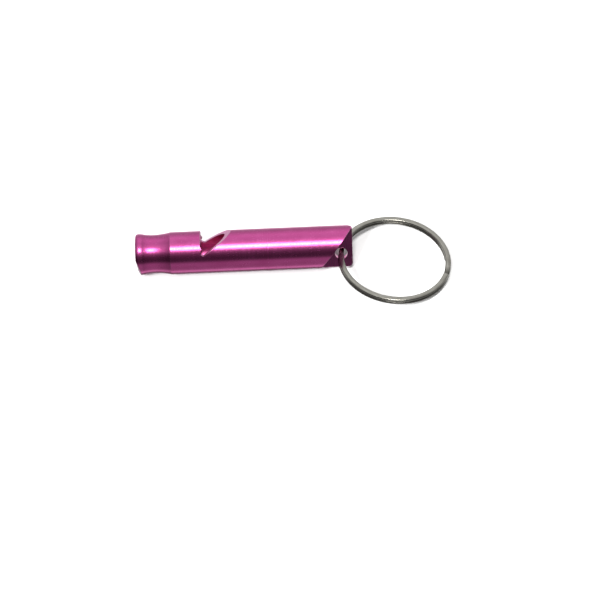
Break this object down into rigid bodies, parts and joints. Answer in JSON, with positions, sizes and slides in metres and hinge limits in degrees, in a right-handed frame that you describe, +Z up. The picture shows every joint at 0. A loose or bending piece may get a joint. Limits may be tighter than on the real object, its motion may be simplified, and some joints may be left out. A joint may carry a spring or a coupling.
{
  "type": "tube whistle",
  "caption": "Slim turned tube whistle with a fipple window and waisted mouth end, and a flat drilled tail tab that carries a swinging split key ring.",
  "frame": {"origin": "on the tube's axis at the middle of its plain barrel, between the window's ramp and the tail tab's shoulder", "axes": "+X along the tube from the mouth end to the tail, +Z up with the whistle lying on a surface 4.5 mm below the axis, +Y to the left of +X"},
  "size_m": [0.0666, 0.024, 0.009],
  "materials": {
    "anodised_body": "bright magenta anodising over fine turned lines",
    "anodised_plug": "magenta anodising, milled flat",
    "ring_steel": "bright drawn steel wire"
  },
  "bodies": {
    "whistle": {"whistle_body": "anodised_body", "fipple_plug": "anodised_plug"},
    "key_ring": {"split_ring": "ring_steel"}
  },
  "joints": [
    {"name": "ring_swing", "type": "hinge", "parent": "whistle", "child": "key_ring", "pos_m": [0.0144, -0.00066, -0.00124], "axis": [0.144, 0.9871, -0.0698], "range_deg": [-168, 161]}
  ]
}
